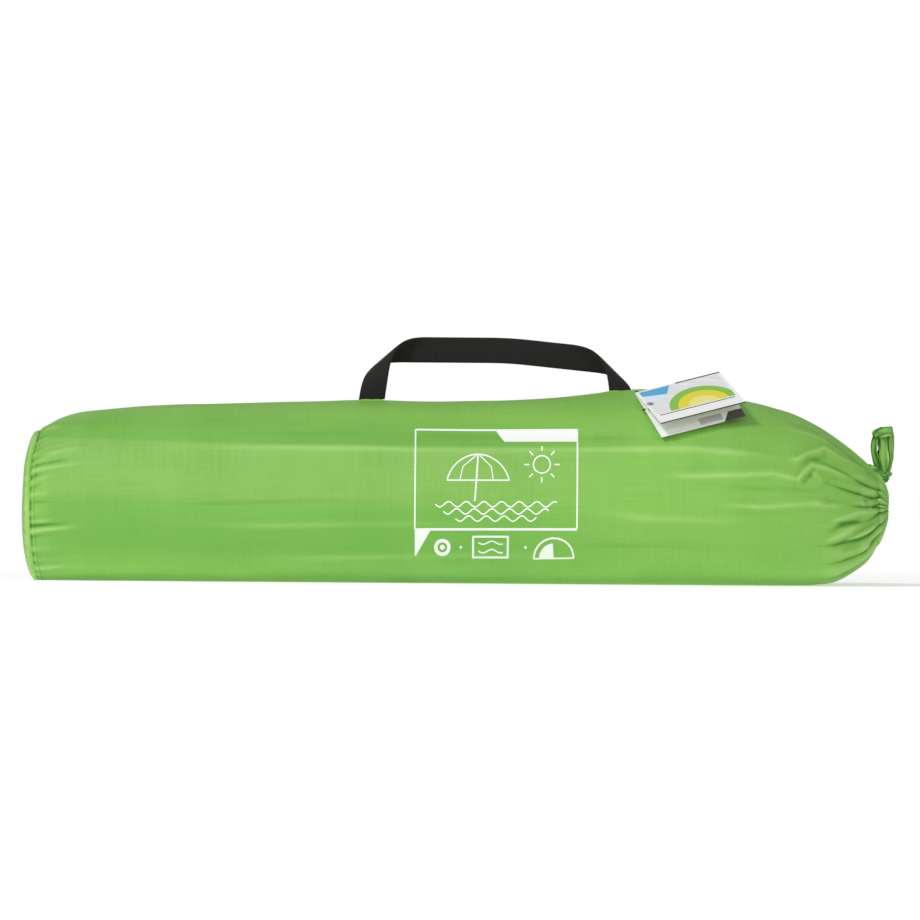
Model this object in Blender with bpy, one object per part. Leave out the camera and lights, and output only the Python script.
"""A small beach tent, packed for carrying.

A green drawstring bag lies on its side with its webbing handle standing up. Inside it are
the canopy and the groundsheet, rolled up together round two folded shock-corded poles and
six pegs. X runs along the bag towards its mouth, Z is up, and the origin is under the bag,
in the middle of the flat strip that it rests on. Run with
blender --background --python part.py, or from the Text Editor.
"""

import functools
import math

import bmesh
import bpy
from mathutils import Vector

MM = 0.001

# Driving dimensions

CLEARANCE = 0.3 * MM  # between pieces that touch
CUT_OVERRUN = 1.0 * MM

CLOTH = 1.2 * MM  # one wall of the bag, with its coating and seam allowances
BODY_LENGTH = 576 * MM  # from the base seam to where the mouth starts to gather
BAG_HEIGHT = 141 * MM
BASE_BULGE = 13.6 * MM
NECK_LENGTH = 76.5 * MM
REST_CUT = 2.5 * MM  # how far the filled bag is pressed flat by its own weight
HALF_WIDTH_SHARE = 0.52
ORIGIN_SHARE = 0.5398  # of the body, from the base seam to the origin
BAG_SIDES = 32

SEAM_WIDTH = 8 * MM  # the turned-in allowance that joins the base to the body

# Stations along the body: share of its length, top as a share of the bag's height.
BODY_TOP_SHARES = (
    (0.0, 0.834),
    (0.012, 0.867),
    (0.021, 0.889),
    (0.031, 0.905),
    (0.052, 0.930),
    (0.08, 0.940),
    (0.133, 0.963),
    (0.187, 0.979),
    (0.269, 0.987),
    (0.404, 0.996),
    (0.54, 0.992),
    (0.621, 1.001),
    (0.675, 1.015),
    (0.756, 1.040),
    (0.81, 1.062),
    (0.865, 1.061),
    (0.919, 1.040),
    (0.946, 1.018),
    (0.973, 0.995),
    (1.0, 0.963),
)
# The base: share of its bulge, and of the seam's size there.
BASE_ROUND_SHARE = 2.4
BASE_RINGS = 7

# The gathered neck: share of its length, its top and its underside as shares of the height.
NECK_SHARES = (
    (0.0, 0.963, 0.0),
    (0.10, 0.950, 0.001),
    (0.20, 0.927, 0.004),
    (0.30, 0.900, 0.011),
    (0.405, 0.872, 0.021),
    (0.51, 0.834, 0.034),
    (0.61, 0.790, 0.051),
    (0.71, 0.748, 0.075),
    (0.81, 0.702, 0.108),
    (0.875, 0.671, 0.140),
    (0.93, 0.645, 0.180),
    (0.97, 0.628, 0.222),
    (1.0, 0.613, 0.262),
)
PLEATS = 10
PLEAT_SHARE = 0.085  # how deep a pleat is at the mouth, as a share of its radius
NECK_SIDES = 60

# The hem at the mouth, a channel bunched up on its drawcord.
HEM_THICKNESS = 15.4 * MM  # along the bag
HEM_DEPTH = 19.0 * MM  # from its outer edge to the closed mouth's edge
HEM_OPENING = 48.0  # degrees left out at the top, where the cord comes out
HEM_STEPS = 36
HEM_SIDES = 10
CORD_DIAMETER = 4.0 * MM
CORD_OFFSET = 1.6 * MM  # the cord lies this far outward of the hem's middle
CORD_SPREAD = 5.0 * MM  # between its two ends where they enter the knot

KNOT_WIDTH = 9.4 * MM
KNOT_HEIGHT = 8.6 * MM
KNOT_ROUND_SHARE = 0.8

LOOP_HEIGHT = 35.0 * MM
LOOP_WIDTH = 15.0 * MM
TAPE_WIDTH = 9.0 * MM
TAPE_THICKNESS = 1.5 * MM
LOOP_LEAN = 4.0 * MM
# The loop's outline: up as a share of its height, and half across as a share of its width.
LOOP_SHARES = (
    (0.0, 0.05),
    (0.17, 0.36),
    (0.40, 0.50),
    (0.64, 0.46),
    (0.86, 0.46),
    (0.96, 0.38),
    (1.0, 0.20),
)
TAIL_SHARES = (0.16, 0.3, 0.45, 0.6, 0.75, 0.9)  # heights of the tail's rows in the loop
TAIL_WIDTH_SHARE = 0.8

# The handle: webbing sewn into the bag's seam, folded over at both upper corners.
WEBBING_WIDTH = 20.0 * MM
WEBBING_THICKNESS = 1.4 * MM
FOLD_RADIUS = 13.3 * MM
FOLD_RULED_SHARE = 0.6
FOLD_STEPS = 10
LEFT_FOLD_ANGLE = 41.0
RIGHT_FOLD_ANGLE = -44.5
HANDLE_TOP = 192.0 * MM
HANDLE_BEND = 5.7  # degrees that the grip drops towards the mouth
BEND_START = 38.0 * MM
BEND_LENGTH = 30.0 * MM
LEFT_FOLD_X = -16.2 * MM
RIGHT_FOLD_X = 106.0 * MM
HANDLE_Y = 1.5 * MM
BASE_FLATTEN = 14.0 * MM  # over this height the curl flattens out into the seam
LEFT_TACK_X = -54.0 * MM
RIGHT_TACK_X = 140.5 * MM
TACK_LENGTH = 31.0 * MM
TACK_THICKNESS = 3.4 * MM
TACK_RISE = 1.2 * MM
TACK_END_SHARE = 0.3
TACK_LOW_SHARE = 0.4
TACK_STEPS = 6
STRAP_LIFT = 0.35 * MM  # under the webbing's cut end, so that it can turn
HINGE_LIFT = 0.9 * MM  # the webbing bends this far above its cut end

# The swing tag, a card folded at its upper edge.
TAG_WIDTH = 70.5 * MM
TAG_HEIGHT = 53.5 * MM
CARD = 0.45 * MM
TAG_CORNER_X = 150.9 * MM
TAG_CORNER_Z = 148.4 * MM
TAG_RISE = 14.0  # degrees that the fold climbs towards the mouth
TAG_TURN = 17.0  # degrees that the fold turns away behind the bag
TAG_FRONT_TILT = 27.5  # degrees below level, measured across the fold
TAG_BACK_TILT = 41.0
TAG_FOLD_GAP = 0.5 * MM
TAG_STEPS = 8
TAG_HOLE_INSET = 4.0 * MM
TAG_HOLE_DOWN_SHARE = 0.40
BACK_HOLE_RADIUS = 1.3 * MM
FRONT_HOLE_RADIUS = 2.9 * MM
FASTENER_DIAMETER = 1.2 * MM
FASTENER_HEAD_RADIUS = 1.9 * MM
FASTENER_HEAD_THICKNESS = 0.8 * MM
FASTENER_ROOM = 2.4 * MM  # between the bag and the card, where the fastener passes
FASTENER_STEPS = 6

# The tent roll: canopy and groundsheet, folded lengthwise and rolled up together.
ROLL_LENGTH = 518 * MM
ROLL_START_SHARE = 0.0532  # of the body's length, from the base seam
CORE_RADIUS = 21.5 * MM  # of the hollow, where a sheet starts
LAYER = 9.2 * MM
LAYER_GAP = 0.4 * MM
LAYER_EDGE = 1.5 * MM
ROLL_TURNS = 2
ROLL_STEPS = 26
START_TURN = 60.0  # degrees over which a sheet's edge grows to its full thickness
ROLL_WIDEN_SHARE = 1.03  # the roll is this much wider than high
TIE_WIDTH = 16 * MM
TIE_THICKNESS = 1.0 * MM
TIE_KNOT = 2.4 * MM
TIE_KNOT_ANGLE = 62.0
TIE_KNOT_SPAN = 12.0
TIE_SIDES = 60
TIE_SMOOTH = 3.5  # degrees either side that the tie spans over a step in the roll
TIE_PLACE_SHARES = (0.2, 0.8)

# The poles: six fibreglass sections each, joined by steel ferrules on one shock cord.
SECTIONS = 6
POLE_COLUMNS = 3
POLE_ROWS = 2
SECTION_DIAMETER = 7.0 * MM
SECTION_BORE = 4.0 * MM
FERRULE_DIAMETER = 9.3 * MM
FERRULE_LENGTH = 60 * MM
SHOCK_CORD = 2.4 * MM
POLE_INSET = 13 * MM  # from the roll's ends to the poles' ends
TUBE_SIDES = 8
RIM_STEPS = 16
TIP_LENGTH = 30 * MM
TIP_PIN_LENGTH = 14 * MM
TIP_PIN_DIAMETER = 4.0 * MM
U_TURN_STEPS = 6

# The pegs: bent steel wire.
PEGS = 6
PEG_WIRE = 4.0 * MM
PEG_LENGTH = 170 * MM
PEG_HOOK_RADIUS = 3.0 * MM
PEG_TAIL = 6.0 * MM
PEG_POINT = 12 * MM
PEG_HOOK_STEPS = 6

GREEN = (0.27, 0.54, 0.10)
GREEN_DEEP = (0.24, 0.50, 0.09)
BLACK = (0.022, 0.022, 0.020)
WHITE = (0.85, 0.85, 0.84)
YELLOW = (0.78, 0.62, 0.03)
GREY = (0.30, 0.31, 0.32)
STEEL = (0.60, 0.61, 0.62)
FIBREGLASS = (0.035, 0.035, 0.04)


# Places that follow from the sizes

BASE_X = -ORIGIN_SHARE * BODY_LENGTH
MOUTH_X = BASE_X + BODY_LENGTH
NECK_END_X = MOUTH_X + NECK_LENGTH
NECK_END_TOP = NECK_SHARES[-1][1] * BAG_HEIGHT
NECK_END_LOW = NECK_SHARES[-1][2] * BAG_HEIGHT
HEM_Z = (NECK_END_TOP + NECK_END_LOW) / 2
HEM_OUTER = (NECK_END_TOP - NECK_END_LOW) / 2 - CLOTH - CLEARANCE
HEM_RING = HEM_OUTER - HEM_DEPTH / 2
HEM_X = NECK_END_X + CORD_OFFSET
CORD_X = HEM_X + CORD_OFFSET
KNOT_X = HEM_X + HEM_THICKNESS / 2 - KNOT_WIDTH * KNOT_ROUND_SHARE / 2
KNOT_Z = HEM_Z + HEM_OUTER
LOOP_FOOT_Z = KNOT_Z + KNOT_HEIGHT / 2 + CLEARANCE

ROLL_X0 = BASE_X + ROLL_START_SHARE * BODY_LENGTH
ROLL_X1 = ROLL_X0 + ROLL_LENGTH
ROLL_PITCH = 2 * (LAYER + LAYER_GAP)
ROLL_OUTER = CORE_RADIUS + ROLL_PITCH * ROLL_TURNS + LAYER_EDGE
TIE_OUTER = ROLL_OUTER + CLEARANCE + TIE_THICKNESS
ROLL_Z = CLOTH + CLEARANCE + TIE_OUTER

POLE_PITCH = FERRULE_DIAMETER + CLEARANCE
POLE_X0 = ROLL_X0 + POLE_INSET
POLE_X1 = ROLL_X1 - POLE_INSET
PEG_PITCH = PEG_WIRE + CLEARANCE


def material(name, colour, roughness, metallic=0.0):
    """A plain surface of one colour."""
    made = bpy.data.materials.new(name)
    made.use_nodes = True
    shader = made.node_tree.nodes["Principled BSDF"]
    shader.inputs["Base Color"].default_value = (*colour, 1.0)
    shader.inputs["Roughness"].default_value = roughness
    shader.inputs["Metallic"].default_value = metallic
    return made


def pivot(name, place):
    """An empty on a joint's axis, which the pieces that turn or slide there hang from."""
    made = bpy.data.objects.new(name, None)
    made.empty_display_size = WEBBING_WIDTH
    made.location = place
    bpy.context.scene.collection.objects.link(made)
    return made


def place_object(name, data, surface, parent):
    """Links an object whose data is in world coordinates, and hangs it from its pivot."""
    made = bpy.data.objects.new(name, data)
    data.materials.append(surface)
    bpy.context.scene.collection.objects.link(made)
    if parent is not None:
        made.parent = parent
        made.location = -parent.location
    return made


def solid(name, mesh, surface, parent=None, crease=35):
    """One closed piece from a bmesh, with its faces turned outwards."""
    bmesh.ops.recalc_face_normals(mesh, faces=mesh.faces)
    data = bpy.data.meshes.new(name)
    mesh.to_mesh(data)
    mesh.free()
    data.shade_smooth()
    data.set_sharp_from_angle(angle=math.radians(crease))
    return place_object(name, data, surface, parent)


def loft(rings, closed):
    """A skin over rings of equal length; closed joins the last to the first, else both
    ends get a cap."""
    mesh = bmesh.new()
    rows = [[mesh.verts.new(point) for point in ring] for ring in rings]
    pairs = list(zip(rows, rows[1:]))
    if closed:
        pairs.append((rows[-1], rows[0]))
    for low, high in pairs:
        for i in range(len(low)):
            j = (i + 1) % len(low)
            mesh.faces.new((low[i], low[j], high[j], high[i]))
    if not closed:
        mesh.faces.new(rows[0])
        mesh.faces.new(rows[-1])
    return mesh


def wire(name, points, diameter, surface, parent=None):
    """A round wire or cord through the points."""
    data = bpy.data.curves.new(name, "CURVE")
    data.dimensions = "3D"
    data.bevel_depth = diameter / 2
    data.bevel_resolution = 2
    data.use_fill_caps = True
    spline = data.splines.new("POLY")
    spline.points.add(len(points) - 1)
    for point, place in zip(spline.points, points):
        point.co = (*place, 1)
    return place_object(name, data, surface, parent)


def between(table, share):
    """The row of a table of shares at that share of its first column."""
    for low, high in zip(table, table[1:]):
        if share <= high[0]:
            along = (share - low[0]) / (high[0] - low[0])
            return [a + (b - a) * along for a, b in zip(low, high)]
    return list(table[-1])


def smooth_step(value):
    value = min(max(value, 0), 1)
    return value * value * (3 - 2 * value)


# The bag


def section(x, top, low, inset=0.0, sides=BAG_SIDES, pleat=0.0):
    """One cross-section of the bag: an oval pressed flat underneath, drawn in by inset."""
    press = REST_CUT * max(0, 1 - low / REST_CUT)
    half_high = (top - low + press) / 2 - inset
    half_wide = HALF_WIDTH_SHARE * (top - low) - inset
    middle = top - inset - half_high
    ring = []
    for i in range(sides):
        angle = 2 * math.pi * i / sides
        wave = 1 + pleat * math.cos(PLEATS * angle)
        y = half_wide * math.sin(angle) * wave
        z = middle + half_high * math.cos(angle) * wave
        ring.append((x, y, max(z, low + inset)))
    return ring


def body_top(x):
    """The height of the bag's top edge there."""
    share = (x - BASE_X) / BODY_LENGTH
    return between(BODY_TOP_SHARES, min(max(share, 0), 1))[1] * BAG_HEIGHT


def body_half_wide(x):
    return HALF_WIDTH_SHARE * body_top(x)


def body_rings(inset, first=0.0, last=0.0):
    """The body's sections from the base seam to the mouth, each end moved in by a length."""
    rings = []
    for i, (share, _) in enumerate(BODY_TOP_SHARES):
        x = BASE_X + share * BODY_LENGTH
        if i == 0:
            x += first
        if i == len(BODY_TOP_SHARES) - 1:
            x -= last
        rings.append(section(x, body_top(x), 0.0, inset))
    return rings


def make_body(surface):
    outer = body_rings(0.0, CLEARANCE / 2, CLEARANCE / 2)
    inner = body_rings(CLOTH, CLEARANCE / 2, CLEARANCE / 2)
    return solid("bag_body", loft(outer + inner[::-1], True), surface)


def base_rings(inset):
    """The bulged end, from the seam to its flat middle."""
    rings = []
    top = body_top(BASE_X)
    for i in range(BASE_RINGS):
        angle = math.pi / 2 * i / BASE_RINGS
        share = math.cos(angle) ** (2 / BASE_ROUND_SHARE)
        depth = math.sin(angle) ** (2 / BASE_ROUND_SHARE)
        x = BASE_X - CLEARANCE / 2 - depth * (BASE_BULGE - inset)
        ring = section(x, top, 0.0, inset)
        centre = top / 2
        rings.append([(px, y * share, centre + (z - centre) * share) for px, y, z in ring])
    return rings


def make_base(surface):
    """A domed disc with an even wall; both skins end in a flat middle."""
    outer, inner = base_rings(0.0), base_rings(CLOTH)
    return solid("bag_base", loft(outer[::-1] + inner, False), surface)


def make_base_seam(surface):
    """The two seam allowances, turned in and stitched flat inside the bag."""
    near, far = BASE_X + CLEARANCE, BASE_X + SEAM_WIDTH
    top = body_top(BASE_X)
    gap = CLOTH + CLEARANCE
    rings = [
        section(near, top, 0.0, gap + CLOTH),
        section(near, top, 0.0, gap),
        section(far, top, 0.0, gap),
        section(far, top, 0.0, gap + CLOTH),
    ]
    return solid("base_seam", loft(rings, True), surface)


def neck_rings(inset):
    rings = []
    for share, top, low in NECK_SHARES:
        x = MOUTH_X + CLEARANCE / 2 + share * (NECK_LENGTH - CLEARANCE / 2)
        depth = PLEAT_SHARE * smooth_step(share) ** 2
        ring = section(x, top * BAG_HEIGHT, low * BAG_HEIGHT, inset, NECK_SIDES, depth)
        rings.append(ring_to_round(ring, top, low, inset, share, depth))
    return rings


def ring_to_round(ring, top, low, inset, share, depth):
    """Turns the pressed oval into the round of the gathered hem, towards the neck's end."""
    centre = (top + low) * BAG_HEIGHT / 2
    radius = (top - low) * BAG_HEIGHT / 2 - inset
    blend = smooth_step(share)
    rounded = []
    for i, (x, y, z) in enumerate(ring):
        angle = 2 * math.pi * i / len(ring)
        wave = 1 + depth * math.cos(PLEATS * angle)
        round_y = radius * math.sin(angle) * wave
        round_z = centre + radius * math.cos(angle) * wave
        rounded.append((x, y + (round_y - y) * blend, z + (round_z - z) * blend))
    return rounded


def make_neck(surface):
    """The cloth that is drawn together in pleats between the full bag and its hem."""
    mesh = loft(neck_rings(0.0) + neck_rings(CLOTH)[::-1], True)
    return solid("bag_neck", mesh, surface, crease=60)


# The mouth's hem and drawstring


def hem_ring(angle, half_deep, half_thick, ring_radius, x):
    """One cross-section of the hem at an angle from straight up, with its pleat."""
    wave = 1 + PLEAT_SHARE * math.cos(PLEATS * angle)
    ring = []
    for i in range(HEM_SIDES):
        turn = 2 * math.pi * i / HEM_SIDES
        radius = (ring_radius + half_deep * math.cos(turn)) * wave
        side = x + half_thick * math.sin(turn)
        ring.append((side, radius * math.sin(angle), HEM_Z + radius * math.cos(angle)))
    return ring


def hem_angles():
    first = math.radians(HEM_OPENING) / 2
    last = 2 * math.pi - first
    return [first + (last - first) * i / HEM_STEPS for i in range(HEM_STEPS + 1)]


def make_hem(surface):
    """The bunched channel: open at the top, with a bore that just takes the cord."""
    angles = hem_angles()
    bore = CORD_DIAMETER / 2 + CLEARANCE
    outer = [hem_ring(a, HEM_DEPTH / 2, HEM_THICKNESS / 2, HEM_RING, HEM_X) for a in angles]
    inner = [cord_bore_ring(a, bore) for a in angles]
    return solid("mouth_hem", loft(outer + inner[::-1], True), surface, crease=60)


def cord_bore_ring(angle, bore):
    ring = []
    for i in range(HEM_SIDES):
        turn = 2 * math.pi * i / HEM_SIDES
        radius = HEM_RING + bore * math.cos(turn)
        side = CORD_X + bore * math.sin(turn)
        ring.append((side, radius * math.sin(angle), HEM_Z + radius * math.cos(angle)))
    return ring


def make_drawcord(surface):
    """The cord round the mouth, whose two ends come out at the top and meet in the knot."""
    low = KNOT_Z - KNOT_HEIGHT / 2 - CLEARANCE
    half_opening = math.radians(HEM_OPENING) / 2
    start = math.asin(CORD_SPREAD / 2 / HEM_RING)
    last = 2 * math.pi - start
    round_part = []
    for i in range(HEM_STEPS + 1):
        angle = start + (last - start) * i / HEM_STEPS
        drop = smooth_step((half_opening - min(angle, 2 * math.pi - angle)) / half_opening)
        radius = HEM_RING + drop * CORD_DIAMETER
        y, z = radius * math.sin(angle), HEM_Z + radius * math.cos(angle)
        round_part.append((CORD_X, y, z))
    first_end = (CORD_X, CORD_SPREAD / 2, low)
    last_end = (CORD_X, -CORD_SPREAD / 2, low)
    return wire("drawcord_ring", [first_end, *round_part, last_end], CORD_DIAMETER, surface)


def make_knot(surface):
    """The tightened knot: a soft lump with a wrapped waist."""
    mesh = bmesh.new()
    bmesh.ops.create_uvsphere(mesh, u_segments=16, v_segments=10, radius=KNOT_WIDTH / 2)
    for vertex in mesh.verts:
        share = vertex.co.z / (KNOT_WIDTH / 2)
        waist = 1 - (1 - KNOT_ROUND_SHARE) * math.cos(math.pi * share) ** 2
        vertex.co.x *= waist * KNOT_ROUND_SHARE
        vertex.co.y *= waist
        vertex.co.z *= KNOT_HEIGHT / KNOT_WIDTH
        vertex.co += Vector((KNOT_X, 0, KNOT_Z))
    return solid("drawstring_knot", mesh, surface, crease=80)


def loop_side(up_share, side, inset):
    """A point of the loop's outline, on its left or right, drawn in by a length."""
    half = between(LOOP_SHARES, up_share)[1] * (LOOP_WIDTH - 2 * inset)
    lean = LOOP_LEAN * math.sin(math.pi * up_share) / 2
    z = LOOP_FOOT_Z + inset + up_share * (LOOP_HEIGHT - 2 * inset)
    return Vector((KNOT_X + side * half - lean, 0, z))


def make_loop(surface, parent):
    """The tied loop of tape that stands up from the knot."""
    ups = [row[0] for row in LOOP_SHARES]
    route = [(up, -1) for up in ups] + [(up, 1) for up in reversed(ups)]
    half = Vector((0, TAPE_WIDTH / 2, 0))
    rings = []
    for up, side in route:
        out, inward = loop_side(up, side, 0.0), loop_side(up, side, TAPE_THICKNESS)
        rings.append([out - half, out + half, inward + half, inward - half])
    return solid("drawstring_loop", loft(rings, True), surface, parent)


def make_tail(surface, parent):
    """The tape's end, which stands flat inside the loop."""
    depth = Vector((0, TAPE_THICKNESS / 2, 0))
    rings = []
    for up in TAIL_SHARES:
        left = loop_side(up, -1, TAPE_THICKNESS)
        right = loop_side(up, 1, TAPE_THICKNESS)
        middle = (left + right) / 2
        left, right = (middle + (end - middle) * TAIL_WIDTH_SHARE for end in (left, right))
        rings.append([left - depth, right - depth, right + depth, left + depth])
    return solid("drawstring_tail", loft(rings, False), surface, parent)


# The handle


def strap_base(x):
    """The height of the webbing's cut ends: one line over both tacks."""
    left = body_top(LEFT_TACK_X) + CLEARANCE + TACK_RISE + STRAP_LIFT
    right = body_top(RIGHT_TACK_X) + CLEARANCE + TACK_RISE + STRAP_LIFT
    along = (x - LEFT_TACK_X) / (RIGHT_TACK_X - LEFT_TACK_X)
    return left + (right - left) * along


def make_tack(name, x, surface):
    """The fold of the bag's seam that the webbing is sewn into, bar-tacked at both ends."""
    rings = []
    for i in range(TACK_STEPS + 1):
        share = i / TACK_STEPS
        at = x + (share - 0.5) * TACK_LENGTH
        fade = min(share, 1 - share) / TACK_END_SHARE
        low = body_top(at) + CLEARANCE
        full = strap_base(at) - STRAP_LIFT - low
        high = low + full * (TACK_LOW_SHARE + (1 - TACK_LOW_SHARE) * smooth_step(fade))
        front, back = HANDLE_Y - TACK_THICKNESS / 2, HANDLE_Y + TACK_THICKNESS / 2
        ring = [(at, front, low), (at, back, low), (at, back, high), (at, front, high)]
        rings.append(ring)
    return solid(name, loft(rings, False), surface)


class Fold:
    """A soft corner: the flat webbing wraps half-way round a slanting cylinder."""

    def __init__(self, place, angle, outward_left):
        turn = math.radians(angle)
        sign = -1 if outward_left else 1
        self.place = place
        self.normal = (sign * abs(math.sin(turn)), math.cos(turn))

    def distance(self, x, z):
        dx, dz = x - self.place[0], z - self.place[1]
        return dx * self.normal[0] + dz * self.normal[1]

    def wrap(self, x, z):
        """The point in space, and the webbing's own normal there."""
        gone = self.distance(x, z)
        if gone <= 0:
            return Vector((x, 2 * FOLD_RADIUS, z)), Vector((0, 1, 0))
        angle = min(gone / FOLD_RADIUS, math.pi)
        past = max(gone - math.pi * FOLD_RADIUS, 0)
        out = FOLD_RADIUS * math.sin(angle) - past - gone
        across = Vector((self.normal[0], 0, self.normal[1]))
        depth = FOLD_RADIUS * (1 + math.cos(angle))
        place = Vector((x, depth, z)) + across * out
        return place, across * math.sin(angle) + Vector((0, math.cos(angle), 0))


def grip_point(along, across):
    """The flat webbing before it is folded: straight, then dropping towards the mouth."""
    drop = math.radians(HANDLE_BEND)
    middle = HANDLE_TOP - WEBBING_WIDTH / 2
    if along <= BEND_START:
        return along, middle + across
    radius = BEND_LENGTH / drop
    angle = min((along - BEND_START) / radius, drop)
    x = BEND_START + (radius + across) * math.sin(angle)
    z = middle - radius + (radius + across) * math.cos(angle)
    past = max(along - BEND_START - BEND_LENGTH, 0)
    return x + past * math.cos(drop), z - past * math.sin(drop)


def solve(function, low, high):
    """The value between low and high where a rising function crosses zero."""
    for _ in range(50):
        middle = (low + high) / 2
        if function(middle) < 0:
            low = middle
        else:
            high = middle
    return (low + high) / 2


def strap_surface(fold, along, across):
    """A point of the folded webbing, flattened into the seam near its cut end."""
    x, z = grip_point(along, across)
    place, normal = fold.wrap(x, z)
    flat = smooth_step((place.z - strap_base(place.x)) / BASE_FLATTEN)
    if fold.distance(x, z) > 0:
        place.y *= flat
        normal.x *= flat
        normal.z *= flat
        normal.normalize()
    place.y += HANDLE_Y
    return place, normal


def strap_edges(fold, side, reach):
    """For both edges of the webbing, the places along it of one row of points each."""
    rows = []
    for across in (-WEBBING_WIDTH / 2, WEBBING_WIDTH / 2):

        def gone(step, across=across):
            return fold.distance(*grip_point(side * step, across))

        def above(step, across=across):
            place, _ = strap_surface(fold, side * step, across)
            return strap_base(place.x) - place.z

        start = solve(gone, side * fold.place[0] - reach, side * fold.place[0] + reach)
        ruled = FOLD_RULED_SHARE * math.pi * FOLD_RADIUS
        turned = solve(lambda s: gone(s) - ruled, start, start + reach)
        end = solve(above, turned, turned + 2 * reach)
        steps = [start + (turned - start) * i / FOLD_STEPS for i in range(FOLD_STEPS)]
        steps += [turned + (end - turned) * i / FOLD_STEPS for i in range(FOLD_STEPS + 1)]
        rows.append([side * step for step in steps])
    return rows


def make_handle(surface, parent):
    """One length of webbing: up from one tack, over a soft fold, along, and down again."""
    reach = 5 * WEBBING_WIDTH
    left = Fold((LEFT_FOLD_X, HANDLE_TOP - WEBBING_WIDTH / 2), LEFT_FOLD_ANGLE, True)
    right_x, right_z = grip_point(RIGHT_FOLD_X, 0)
    right = Fold((right_x, right_z), RIGHT_FOLD_ANGLE, False)
    left_low, left_high = strap_edges(left, -1, reach)
    right_low, right_high = strap_edges(right, 1, reach)
    rows = [(left, a, b) for a, b in zip(left_low[::-1], left_high[::-1])]
    for i in range(1, TACK_STEPS):
        share = i / TACK_STEPS
        low = left_low[0] + (right_low[0] - left_low[0]) * share
        high = left_high[0] + (right_high[0] - left_high[0]) * share
        rows.append((right, low, high))
    rows += [(right, a, b) for a, b in zip(right_low, right_high)]
    rings = []
    for fold, low, high in rows:
        lower, low_out = strap_surface(fold, low, -WEBBING_WIDTH / 2)
        upper, high_out = strap_surface(fold, high, WEBBING_WIDTH / 2)
        half = WEBBING_THICKNESS / 2
        ring = [
            lower - low_out * half,
            upper - high_out * half,
            upper + high_out * half,
            lower + low_out * half,
        ]
        rings.append(ring)
    return solid("handle_webbing", loft(rings, False), surface, parent, crease=40)


# The swing tag


def tag_axes(tilt):
    """The card's directions: along its fold, down from the fold, and out of its face."""
    rise, turn = math.radians(TAG_RISE), math.radians(TAG_TURN)
    along = Vector((math.cos(rise) * math.cos(turn), math.cos(rise) * math.sin(turn), math.sin(rise)))
    level = Vector((0, 0, 1)).cross(along).normalized() * -1
    up = along.cross(level) * -1
    angle = math.radians(tilt)
    down = level * math.cos(angle) - up * math.sin(angle)
    return along, down, along.cross(down) * -1


def tag_corner():
    """The fold's left end, as far forward as the bag under the lower leaf pushes it."""
    along, down, out = tag_axes(TAG_BACK_TILT)
    reach = (along * TAG_WIDTH + down * TAG_HEIGHT).x
    swell = -BODY_LENGTH
    for i in range(TAG_STEPS + 1):
        x = TAG_CORNER_X + reach * i / TAG_STEPS
        for point in section(x, body_top(x), 0.0):
            swell = max(swell, out.dot(point))
    level = swell + FASTENER_ROOM
    y = (level - out.x * TAG_CORNER_X - out.z * TAG_CORNER_Z) / out.y
    return Vector((TAG_CORNER_X, y, TAG_CORNER_Z))


def make_leaf(name, tilt, lift, hole, surface, parent):
    """One leaf of the folded card, with a round hole for the fastener."""
    along, down, out = tag_axes(tilt)
    corner = tag_corner() + out * lift + down * TAG_FOLD_GAP / 2
    rings = []
    for depth in (0.0, CARD):
        base = corner + out * depth
        far = down * (TAG_HEIGHT - TAG_FOLD_GAP / 2)
        side = along * TAG_WIDTH
        rings.append([base, base + side, base + side + far, base + far])
    leaf = solid(name, loft(rings, False), surface, parent)
    cutter = hole_cutter(name + "_hole", tag_hole(tilt, lift), out, hole, surface)
    cut = leaf.modifiers.new("hole", "BOOLEAN")
    cut.operation = "DIFFERENCE"
    cut.solver = "EXACT"
    cut.object = cutter
    return leaf


def tag_hole(tilt, lift):
    """Where the fastener goes through a leaf."""
    along, down, out = tag_axes(tilt)
    inset = along * TAG_HOLE_INSET + down * TAG_HOLE_DOWN_SHARE * TAG_HEIGHT
    return tag_corner() + inset + out * (lift + CARD / 2)


def rod(name, start, end, radius, surface, parent=None, sides=TUBE_SIDES):
    """A plain round rod between two points."""
    return solid(name, loft(round_rings(start, end, radius, sides), False), surface, parent)


def round_rings(start, end, radius, sides):
    axis = (end - start).normalized()
    across = axis.orthogonal().normalized()
    other = axis.cross(across)
    rings = []
    for centre in (start, end):
        ring = []
        for i in range(sides):
            turn = 2 * math.pi * i / sides
            ring.append(centre + (across * math.cos(turn) + other * math.sin(turn)) * radius)
        rings.append(ring)
    return rings


def hole_cutter(name, place, axis, radius, surface):
    reach = axis * (CARD + CUT_OVERRUN)
    cutter = rod(name, place - reach, place + reach, radius, surface, sides=16)
    cutter.hide_render = True
    cutter.display_type = "WIRE"
    return cutter


def bag_front(x, angle, lift):
    """A point above the bag's front, at an angle from its top."""
    top = body_top(x)
    half_high = (top + REST_CUT) / 2
    middle = top - half_high
    y = -body_half_wide(x) * math.sin(angle)
    z = middle + half_high * math.cos(angle)
    out = Vector((0, y, z - middle)).normalized()
    return Vector((x, y, z)) + out * lift


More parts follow.
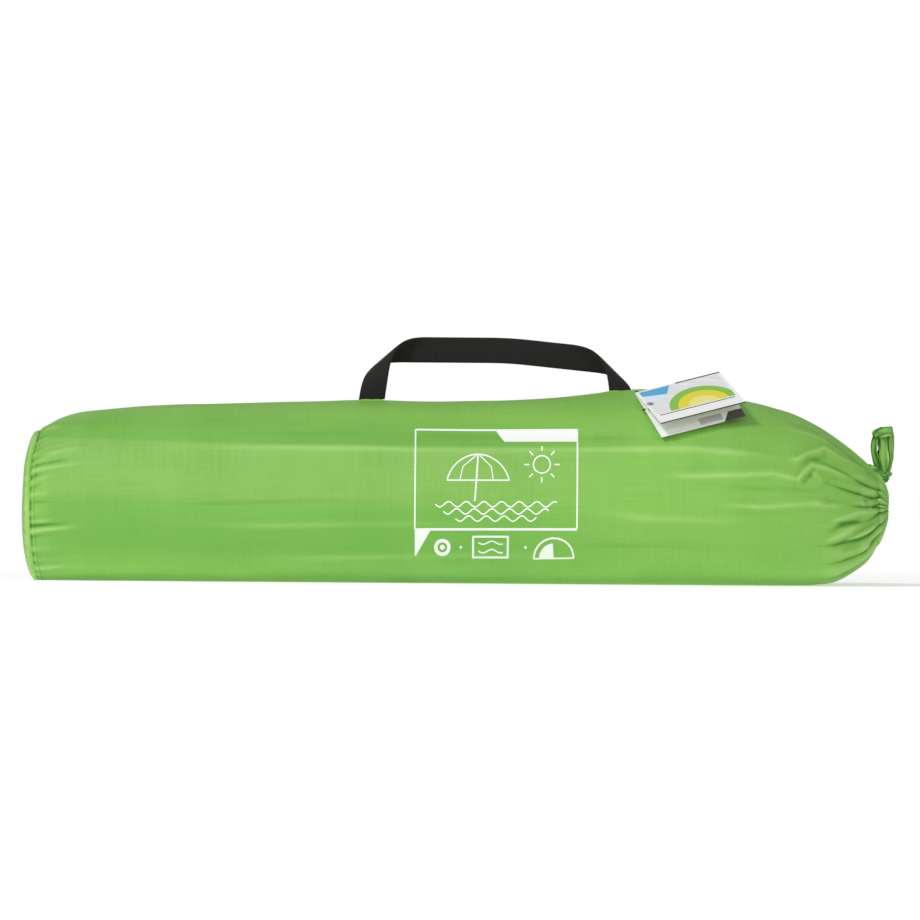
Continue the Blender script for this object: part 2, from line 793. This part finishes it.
def make_fastener(surface):
    """A thin plastic tie from the seam, under the card and up through its hole."""
    hole = tag_hole(TAG_BACK_TILT, 0.0)
    _, _, out = tag_axes(TAG_BACK_TILT)
    lift = FASTENER_DIAMETER / 2 + 2 * CLEARANCE
    seam_y = TACK_THICKNESS / 2 - HANDLE_Y + CLEARANCE + FASTENER_DIAMETER / 2
    seam_x = RIGHT_TACK_X + TACK_LENGTH / 2 - TACK_END_SHARE * TACK_LENGTH / 2
    first = math.asin(seam_y / body_half_wide(seam_x))
    last = math.asin(-hole.y / body_half_wide(hole.x)) - FASTENER_DIAMETER / BAG_HEIGHT
    points = []
    for i in range(FASTENER_STEPS + 1):
        share = i / FASTENER_STEPS
        x = seam_x + (hole.x - seam_x) * share
        points.append(bag_front(x, first + (last - first) * share, lift))
    seat = hole + out * (CARD / 2 + CLEARANCE)
    points += [hole, seat]
    rings = []
    for i, point in enumerate(points):
        if i == len(points) - 1:
            ahead = out
        elif i == 0:
            ahead = (points[1] - point).normalized()
        else:
            ahead = (points[i + 1] - points[i - 1]).normalized()
        rings.append(ring_about(point, ahead, FASTENER_DIAMETER / 2, 8))
    head = seat + out * FASTENER_HEAD_THICKNESS
    rings.append(ring_about(seat, out, FASTENER_HEAD_RADIUS, 8))
    rings.append(ring_about(head, out, FASTENER_HEAD_RADIUS, 8))
    return solid("tag_fastener", loft(rings, False), surface)


def ring_about(centre, axis, radius, sides):
    """A circle of points square to an axis, started from the same side each time."""
    across = axis.cross(Vector((1, 0, 0))).normalized()
    other = axis.cross(across).normalized()
    ring = []
    for i in range(sides):
        turn = 2 * math.pi * i / sides
        ring.append(centre + (across * math.cos(turn) + other * math.sin(turn)) * radius)
    return ring


# The tent roll


def roll_point(radius, angle, x):
    """A point at a radius and an angle from straight down, in the slightly wide roll."""
    y = radius * ROLL_WIDEN_SHARE * math.sin(angle)
    return (x, y, ROLL_Z - radius * math.cos(angle))


def sheet_inner(wound):
    """A sheet's inner radius at an angle from its start, where its edge is thin."""
    edge = 1 - smooth_step(wound / math.radians(START_TURN))
    return CORE_RADIUS + ROLL_PITCH * wound / (2 * math.pi) + edge * (LAYER - LAYER_EDGE)


def make_sheet_roll(name, start_angle, surface, parent):
    """One folded sheet, wound in a spiral, with thin edges at its start and end."""
    rings = []
    total = ROLL_TURNS * ROLL_STEPS
    for i in range(total + 1):
        wound = 2 * math.pi * i / ROLL_STEPS
        angle = start_angle + wound
        inner = sheet_inner(wound)
        outer = CORE_RADIUS + ROLL_PITCH * wound / (2 * math.pi) + LAYER
        left = 2 * math.pi * ROLL_TURNS - wound
        outer -= (1 - smooth_step(left / math.pi)) * (LAYER - LAYER_EDGE)
        ring = [
            roll_point(inner, angle, ROLL_X0),
            roll_point(outer, angle, ROLL_X0),
            roll_point(outer, angle, ROLL_X1),
            roll_point(inner, angle, ROLL_X1),
        ]
        rings.append(ring)
    return solid(name, loft(rings, False), surface, parent, crease=50)


def roll_reach(angle):
    """The roll's outer radius at an angle from straight down, over both sheets."""
    reach = 0
    for start_angle in (0, math.pi):
        wound = (angle - start_angle) % (2 * math.pi)
        wound += 2 * math.pi * (ROLL_TURNS - 1)
        left = 2 * math.pi * ROLL_TURNS - wound
        outer = CORE_RADIUS + ROLL_PITCH * wound / (2 * math.pi) + LAYER
        outer -= (1 - smooth_step(left / math.pi)) * (LAYER - LAYER_EDGE)
        reach = max(reach, outer)
    return reach


def make_tie(name, share, surface, parent):
    """A fabric tie round the roll, with its knot at the side."""
    middle = ROLL_X0 + share * ROLL_LENGTH
    rings = []
    knot_at = math.radians(TIE_KNOT_ANGLE) + math.pi / 2
    near = math.radians(TIE_SMOOTH)
    for i in range(TIE_SIDES):
        angle = 2 * math.pi * i / TIE_SIDES
        inner = max(roll_reach(angle + step) for step in (-near, 0, near)) + CLEARANCE
        off = abs(angle - knot_at) / math.radians(TIE_KNOT_SPAN)
        outer = inner + TIE_THICKNESS + TIE_KNOT * smooth_step(1 - off)
        ring = [
            roll_point(inner, angle, middle - TIE_WIDTH / 2),
            roll_point(outer, angle, middle - TIE_WIDTH / 2),
            roll_point(outer, angle, middle + TIE_WIDTH / 2),
            roll_point(inner, angle, middle + TIE_WIDTH / 2),
        ]
        rings.append(ring)
    return solid(name, loft(rings, True), surface, parent)


# The poles and pegs


def tube_mesh(x0, x1, y, z, radius, bore):
    """A round tube along X."""
    start, end = Vector((x0, y, z)), Vector((x1, y, z))
    outer = round_rings(start, end, radius, TUBE_SIDES)
    inner = round_rings(start, end, bore, TUBE_SIDES)
    return loft(outer + inner[::-1], True)


def bundle_left():
    """How far left of the roll's middle the first column of poles lies, so that the poles
    and the pegs beside them stand evenly in the hollow."""
    pegs_wide = 2 * PEG_HOOK_RADIUS + PEG_WIRE + CLEARANCE
    poles_wide = (POLE_COLUMNS - 1) * POLE_PITCH + FERRULE_DIAMETER
    return (FERRULE_DIAMETER - poles_wide - pegs_wide) / 2


def room(y, z, radius):
    """The least gap between a round piece in the hollow and the sheets round it."""
    least = CORE_RADIUS
    for i in range(RIM_STEPS):
        turn = 2 * math.pi * i / RIM_STEPS
        rim_y, rim_z = y + radius * math.sin(turn), z + radius * math.cos(turn)
        wound = math.atan2(rim_y, -rim_z) % math.pi
        facet = sheet_inner(wound) * math.cos(math.pi / ROLL_STEPS)
        least = min(least, facet - math.hypot(rim_y, rim_z))
    return least


@functools.cache
def bundle_drop():
    """How far the poles sink below the roll's middle, until they lie on the sheets."""

    def short(drop):
        places = [folded_place(p, i) for p in range(2) for i in range(SECTIONS)]
        return CLEARANCE - min(room(y, z - drop, FERRULE_DIAMETER / 2) for y, z in places)

    return solve(short, 0, CORE_RADIUS)


def folded_place(pole, index):
    """One section in the stack: each pole is folded back and forth over two rows."""
    row = index // POLE_COLUMNS
    column = index % POLE_COLUMNS
    if row % 2:
        column = POLE_COLUMNS - 1 - column
    high = pole * POLE_ROWS + row - (2 * POLE_ROWS - 1) / 2
    return bundle_left() + column * POLE_PITCH, high * POLE_PITCH


def section_place(pole, index):
    """The Y and Z of one section."""
    y, z = folded_place(pole, index)
    return y, ROLL_Z + z - bundle_drop()


def make_pole(pole, letter, looks, parent):
    """One folded pole: sections, the ferrules that join them, two tips and the cord."""
    half_ferrule = FERRULE_LENGTH / 2
    for i in range(SECTIONS):
        y, z = section_place(pole, i)
        right = i % 2 == 0
        x0 = POLE_X0 if right else POLE_X0 + half_ferrule
        x1 = POLE_X1 - half_ferrule if right else POLE_X1
        if i in (0, SECTIONS - 1):
            x0 = POLE_X0 + TIP_PIN_LENGTH
        mesh = tube_mesh(x0, x1, y, z, SECTION_DIAMETER / 2, SECTION_BORE / 2)
        solid(f"pole_{letter}_section_{i + 1}", mesh, looks["fibreglass"], parent)
        if i < SECTIONS - 1:
            fx0 = POLE_X1 - FERRULE_LENGTH if right else POLE_X0
            bore = SECTION_DIAMETER / 2 + CLEARANCE
            mesh = tube_mesh(fx0, fx0 + FERRULE_LENGTH, y, z, FERRULE_DIAMETER / 2, bore)
            solid(f"pole_{letter}_ferrule_{i + 1}", mesh, looks["steel"], parent)
    for number, i in enumerate((0, SECTIONS - 1)):
        make_tip(f"pole_{letter}_tip_{number + 1}", *section_place(pole, i), looks, parent)
    make_shock_cord(pole, letter, looks, parent)


def make_tip(name, y, z, looks, parent):
    """A cap over the last section's end, with the pin that goes into the tent's eyelet."""
    start = POLE_X0
    shoulder = start + TIP_PIN_LENGTH - CLEARANCE - CLOTH
    inside = start + TIP_PIN_LENGTH - CLEARANCE
    end = start + TIP_LENGTH
    bore = SECTION_DIAMETER / 2 + CLEARANCE
    profile = [
        (start, TIP_PIN_DIAMETER / 4),
        (start + TIP_PIN_DIAMETER / 2, TIP_PIN_DIAMETER / 2),
        (shoulder, TIP_PIN_DIAMETER / 2),
        (shoulder, FERRULE_DIAMETER / 2),
        (end, FERRULE_DIAMETER / 2),
        (end, bore),
        (inside, bore),
        (inside, TIP_PIN_DIAMETER / 4),
    ]
    rings = []
    for x, radius in profile:
        ring = []
        for i in range(TUBE_SIDES):
            turn = 2 * math.pi * i / TUBE_SIDES
            ring.append((x, y + radius * math.cos(turn), z + radius * math.sin(turn)))
        rings.append(ring)
    return solid(name, loft(rings, False), looks["tip"], parent)


def make_shock_cord(pole, letter, looks, parent):
    """The elastic cord through all six sections, turning back at each fold."""
    points = []
    first = POLE_X0 + TIP_LENGTH
    for i in range(SECTIONS):
        y, z = section_place(pole, i)
        run = [POLE_X0, POLE_X1] if i % 2 == 0 else [POLE_X1, POLE_X0]
        if i == 0:
            run[0] = first
        if i == SECTIONS - 1:
            run[1] = first
        points += [Vector((x, y, z)) for x in run]
        if i == SECTIONS - 1:
            break
        next_y, next_z = section_place(pole, i + 1)
        here, there = Vector((run[1], y, z)), Vector((run[1], next_y, next_z))
        middle, half = (here + there) / 2, (here - there) / 2
        out = Vector((1 if i % 2 == 0 else -1, 0, 0)) * half.length
        for step in range(1, U_TURN_STEPS):
            turn = math.pi * step / U_TURN_STEPS
            points.append(middle + half * math.cos(turn) + out * math.sin(turn))
    return wire(f"pole_{letter}_shock_cord", points, SHOCK_CORD, looks["cord"], parent)


def make_peg(index, surface, parent):
    """A bent wire peg: a straight shaft with a hook at the end nearer the mouth."""
    y = bundle_left() + (POLE_COLUMNS - 1) * POLE_PITCH + FERRULE_DIAMETER / 2
    y += CLEARANCE + PEG_WIRE / 2
    hook_y = y + 2 * PEG_HOOK_RADIUS
    lowest = solve(lambda drop: CLEARANCE - room(hook_y, -drop, PEG_WIRE / 2), 0, CORE_RADIUS)
    z = ROLL_Z - lowest + index * PEG_PITCH
    end = POLE_X1 - PEG_HOOK_RADIUS
    points = [(end - PEG_LENGTH, y, z), (end - PEG_LENGTH + PEG_POINT, y, z)]
    for step in range(PEG_HOOK_STEPS + 1):
        turn = math.pi * step / PEG_HOOK_STEPS
        across = y + PEG_HOOK_RADIUS * (1 - math.cos(turn))
        points.append((end + PEG_HOOK_RADIUS * math.sin(turn), across, z))
    points.append((end - PEG_TAIL, hook_y, z))
    return wire(f"peg_{index + 1}", points, PEG_WIRE, surface, parent)


def main():
    for old in list(bpy.data.objects):
        bpy.data.objects.remove(old, do_unlink=True)
    looks = {
        "cloth": material("bag_cloth", GREEN, 0.55),
        "cloth_hem": material("bag_hem_cloth", GREEN_DEEP, 0.6),
        "tape": material("drawstring_tape", GREEN_DEEP, 0.6),
        "webbing": material("black_webbing", BLACK, 0.8),
        "card": material("tag_card", WHITE, 0.4),
        "plastic": material("black_plastic", BLACK, 0.4),
        "canopy": material("canopy_cloth", GREEN, 0.6),
        "groundsheet": material("groundsheet_cloth", YELLOW, 0.5),
        "tie": material("tie_cloth", GREEN_DEEP, 0.7),
        "fibreglass": material("fibreglass", FIBREGLASS, 0.35),
        "steel": material("ferrule_steel", STEEL, 0.3, 1.0),
        "tip": material("tip_plastic", GREY, 0.5),
        "cord": material("shock_cord", WHITE, 0.8),
        "peg": material("peg_steel", STEEL, 0.35, 1.0),
    }
    make_body(looks["cloth"])
    make_base(looks["cloth"])
    make_base_seam(looks["cloth_hem"])
    make_neck(looks["cloth"])
    make_hem(looks["cloth_hem"])
    make_drawcord(looks["tape"])
    make_knot(looks["tape"])
    make_tack("handle_tack_left", LEFT_TACK_X, looks["cloth_hem"])
    make_tack("handle_tack_right", RIGHT_TACK_X, looks["cloth_hem"])
    make_fastener(looks["plastic"])

    loop_foot = pivot("drawstring_pivot", (KNOT_X, 0, LOOP_FOOT_Z))
    make_loop(looks["tape"], loop_foot)
    make_tail(looks["tape"], loop_foot)

    handle_foot = (LEFT_TACK_X, HANDLE_Y, strap_base(LEFT_TACK_X) + HINGE_LIFT)
    make_handle(looks["webbing"], pivot("handle_pivot", handle_foot))

    hole = pivot("tag_pivot", tag_hole(TAG_BACK_TILT, 0.0))
    make_leaf("tag_back_leaf", TAG_BACK_TILT, 0.0, BACK_HOLE_RADIUS, looks["card"], hole)
    fold = pivot("tag_fold_pivot", tag_corner())
    make_leaf("tag_front_leaf", TAG_FRONT_TILT, CARD, FRONT_HOLE_RADIUS, looks["card"], fold)

    roll = pivot("tent_roll_pivot", (ROLL_X0, 0, ROLL_Z))
    make_sheet_roll("canopy_roll", 0.0, looks["canopy"], roll)
    make_sheet_roll("groundsheet_roll", math.pi, looks["groundsheet"], roll)
    for number, share in enumerate(TIE_PLACE_SHARES):
        make_tie(f"roll_tie_{number + 1}", share, looks["tie"], roll)
    for pole, letter in enumerate("ab"):
        make_pole(pole, letter, looks, pivot(f"pole_{letter}_pivot", (POLE_X0, 0, ROLL_Z)))
    pegs = pivot("pegs_pivot", (POLE_X1, 0, ROLL_Z))
    for index in range(PEGS):
        make_peg(index, looks["peg"], pegs)


main()
